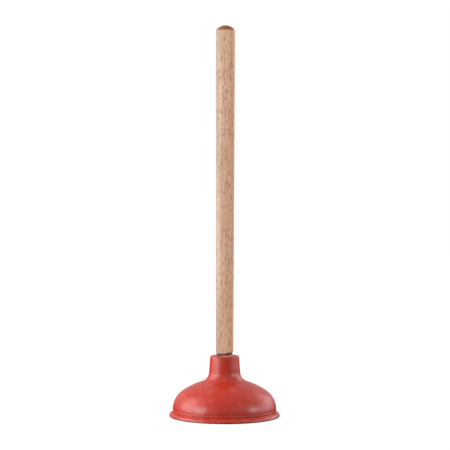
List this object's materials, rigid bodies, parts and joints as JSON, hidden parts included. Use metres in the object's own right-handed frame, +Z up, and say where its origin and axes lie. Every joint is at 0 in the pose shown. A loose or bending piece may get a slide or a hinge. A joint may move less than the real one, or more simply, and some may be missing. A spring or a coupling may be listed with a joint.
{
  "type": "sink plunger",
  "caption": "Sink plunger with a straight turned wooden handle screwed into a moulded red rubber cup that seals over a drain and flexes when pushed.",
  "frame": {"origin": "centre of the cup lip's underside, on the surface that the plunger stands on", "axes": "+Z up the handle; the part is round about Z, and -Y is the side on which the thread's last groove shows just above the collar"},
  "size_m": [0.13, 0.13, 0.4585],
  "materials": {
    "cup_rubber": "matte moulded red rubber",
    "handle_wood": "sanded unvarnished open-pored hardwood"
  },
  "bodies": {
    "cup_base": {"cup_lip": "cup_rubber", "cup_dome": "cup_rubber"},
    "cup_neck": {"cup_collar": "cup_rubber"},
    "handle": {"handle": "handle_wood"}
  },
  "joints": [
    {"name": "plunge", "type": "slide", "parent": "cup_base", "child": "cup_neck", "axis": [0, 0, -1], "range_m": [-0.004, 0.02], "stiffness_N_per_m": 2500, "deforming": ["cup_dome"]},
    {"name": "handle_lift", "type": "slide", "parent": "cup_neck", "child": "handle", "axis": [0, 0, 1], "range_m": [0, 0.038]}
  ]
}
